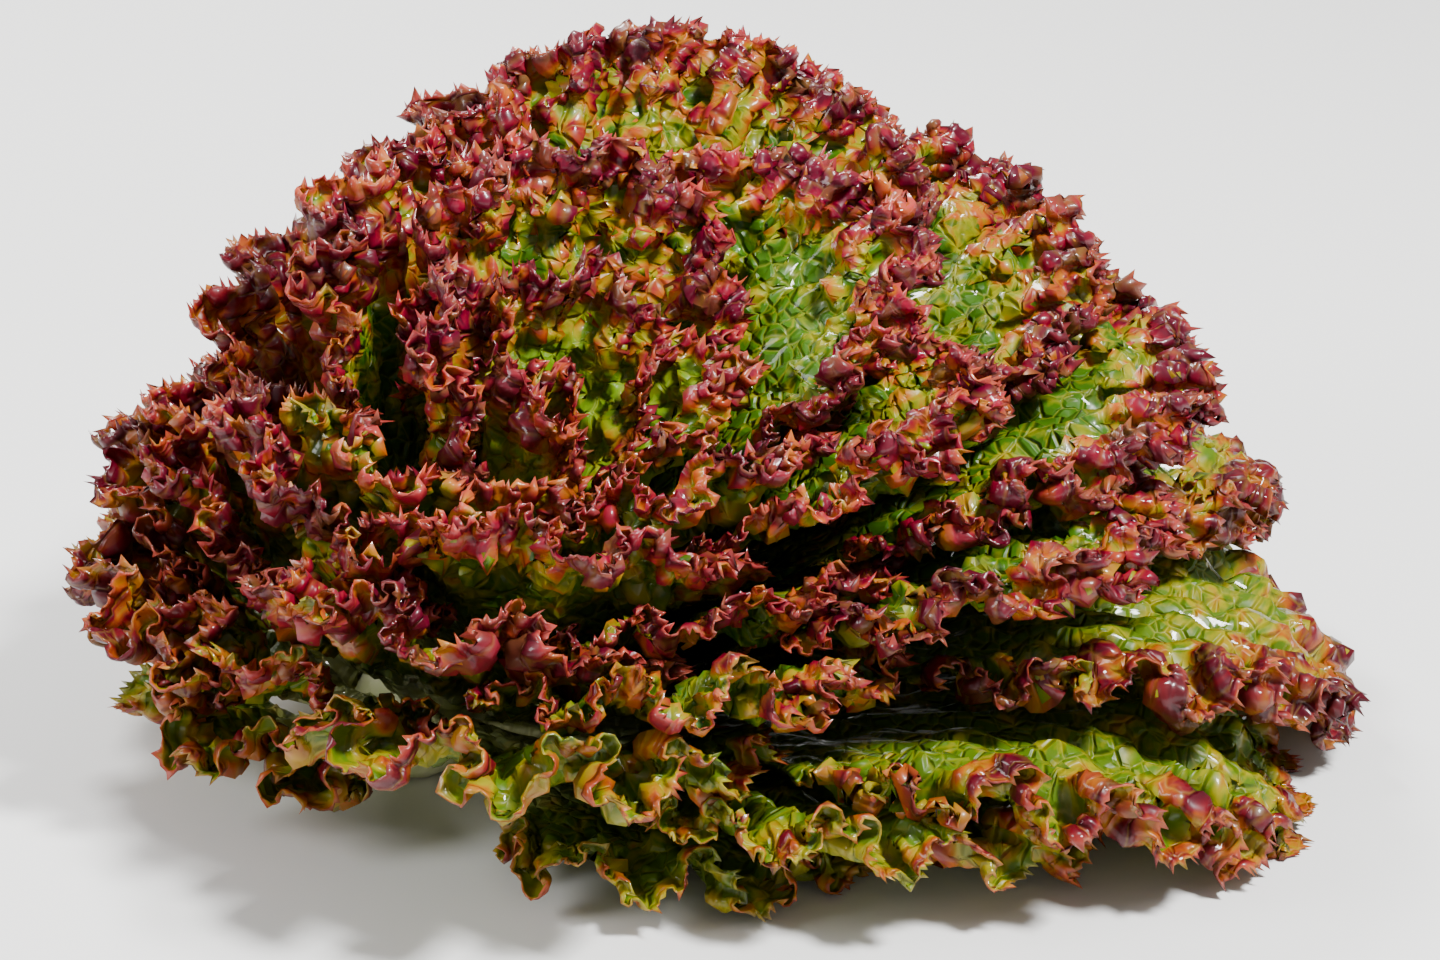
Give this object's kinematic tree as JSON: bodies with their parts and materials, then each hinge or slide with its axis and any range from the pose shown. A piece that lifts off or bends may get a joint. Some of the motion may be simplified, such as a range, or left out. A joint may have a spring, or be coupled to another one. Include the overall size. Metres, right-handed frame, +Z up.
{
  "type": "lollo rosso lettuce head",
  "caption": "Loose head of frilly red-edged lettuce leaves on a short cut stem, rolled over onto its lower leaves; a food prop.",
  "frame": {"origin": "on the surface that the head lies on, under the middle of the head's box", "axes": "+Z up from the surface; +X towards the side that the head leans to; -Y towards the front, the side seen in the picture"},
  "size_m": [0.2576, 0.2468, 0.1301],
  "materials": {
    "outer_leaf": "thin waxy leaf, brown-red to burgundy, greener and paler towards the rib",
    "leaf": "thin waxy leaf, burgundy at the frills and bright green towards the rib",
    "inner_leaf": "thin waxy leaf, burgundy at the frills and yellow-green towards the rib",
    "heart_leaf": "young crisp leaf, red-tipped over yellow-green",
    "stem": "smooth pale stem with a dull cut face"
  },
  "bodies": {
    "root": {"outer_leaf_left_low": "outer_leaf", "outer_leaf_front_right": "outer_leaf", "outer_leaf_back_left_low": "outer_leaf", "outer_leaf_right_front": "outer_leaf", "outer_leaf_back_right_low": "outer_leaf", "outer_leaf_front": "outer_leaf", "outer_leaf_left": "outer_leaf", "outer_leaf_right_low": "outer_leaf", "outer_leaf_back_low": "outer_leaf", "outer_leaf_right": "outer_leaf", "outer_leaf_left_back": "outer_leaf", "outer_leaf_right_behind": "outer_leaf", "leaf_front_right": "leaf", "leaf_left_front": "leaf", "outer_leaf_right_back": "outer_leaf", "leaf_front": "leaf", "leaf_right": "leaf", "leaf_left_back": "leaf", "outer_leaf_back_right": "outer_leaf", "inner_leaf_right_front": "inner_leaf", "leaf_right_back": "leaf", "outer_leaf_back_left": "outer_leaf", "leaf_left": "leaf", "inner_leaf_front": "inner_leaf", "leaf_back_right": "leaf", "outer_leaf_back": "outer_leaf", "inner_leaf_right": "inner_leaf", "leaf_back": "leaf", "inner_leaf_left": "inner_leaf", "leaf_back_left": "leaf", "inner_leaf_right_heart": "inner_leaf", "inner_leaf_back_right": "inner_leaf", "heart_leaf_front": "heart_leaf", "inner_leaf_back": "inner_leaf", "inner_leaf_left_back": "inner_leaf", "heart_leaf_right": "heart_leaf", "heart_leaf_back": "heart_leaf", "heart_leaf_left": "heart_leaf", "heart_leaf_bud": "heart_leaf", "stem": "stem"}
  },
  "joints": []
}
